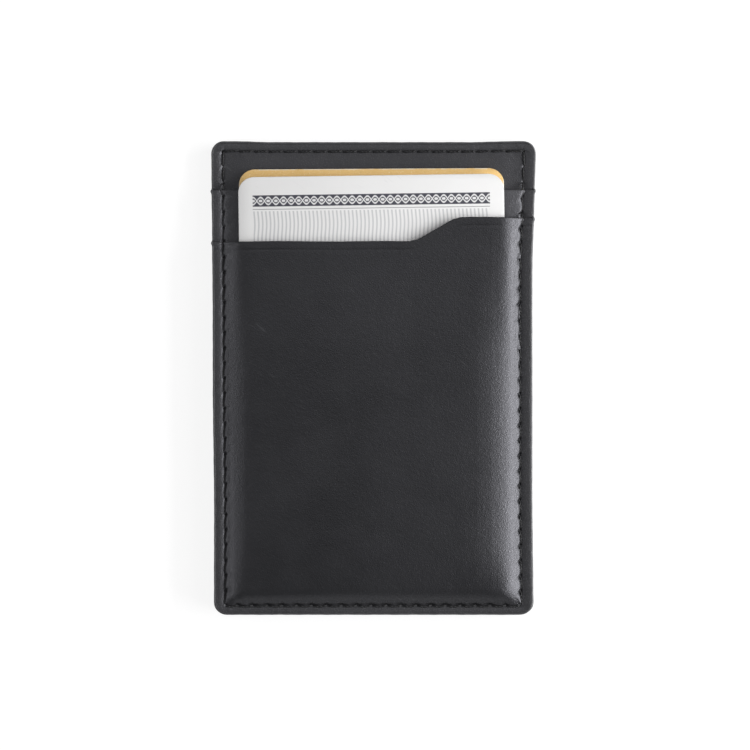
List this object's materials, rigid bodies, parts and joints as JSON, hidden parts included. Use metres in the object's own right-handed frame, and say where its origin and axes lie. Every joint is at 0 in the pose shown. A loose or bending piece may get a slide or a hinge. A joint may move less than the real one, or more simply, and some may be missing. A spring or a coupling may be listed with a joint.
{
  "type": "stick-on phone wallet",
  "caption": "Slim leather card wallet with layered pockets, a stepped front mouth and payment cards in it, and an adhesive back under a release liner.",
  "frame": {"origin": "centre of the wallet's outline, on the surface that its back lies on", "axes": "+Z out of the front of the wallet, +Y towards its head, where the cards come out, +X to the right seen from the front"},
  "size_m": [0.0652, 0.0964, 0.0074],
  "materials": {
    "black_leather": "smooth grain, semi-matt black",
    "black_lining": "fine woven lining, matt black",
    "grey_board": "pressed fibre board, matt grey",
    "edge_paint": "satin black edge paint",
    "black_thread": "bonded polyester thread, black",
    "grey_adhesive": "grey foam tape, tacky",
    "liner_paper": "silicone coated release paper, off-white",
    "gold_card_face": "printed card, satin gold",
    "silver_card_face": "printed card, satin silver-white",
    "contact_metal": "gold plated contact plate",
    "magnetic_stripe": "glossy dark brown stripe",
    "signature_strip": "matt white writing strip"
  },
  "bodies": {
    "wallet": {"adhesive_pad": "grey_adhesive", "rear_leather": "black_leather", "stiffener_board": "grey_board", "facing_leather": "black_leather", "middle_pocket_leather": "black_leather", "middle_pocket_lining": "black_lining", "front_pocket_leather": "black_leather", "front_pocket_lining": "black_lining", "edge_coat": "edge_paint", "needle_thread": "black_thread", "bobbin_thread": "black_thread"},
    "front_card": {"front_card": "silver_card_face", "front_card_contact_plate": "contact_metal", "front_card_magnetic_stripe": "magnetic_stripe", "front_card_signature_strip": "signature_strip"},
    "rear_card": {"rear_card": "gold_card_face", "rear_card_contact_plate": "contact_metal", "rear_card_magnetic_stripe": "magnetic_stripe", "rear_card_signature_strip": "signature_strip"},
    "release_liner": {"release_liner": "liner_paper"}
  },
  "joints": [
    {"name": "front_card_slide", "type": "slide", "parent": "wallet", "child": "front_card", "axis": [-0.014, 0.9999, 0], "range_m": [0, 0.096]},
    {"name": "rear_card_slide", "type": "slide", "parent": "wallet", "child": "rear_card", "axis": [-0.0061, 1, 0], "range_m": [0, 0.094]},
    {"name": "release_liner_peel", "type": "hinge", "parent": "wallet", "child": "release_liner", "pos_m": [0, -0.0418, 0.00007], "axis": [-1, 0, 0], "range_deg": [0, 150]}
  ]
}
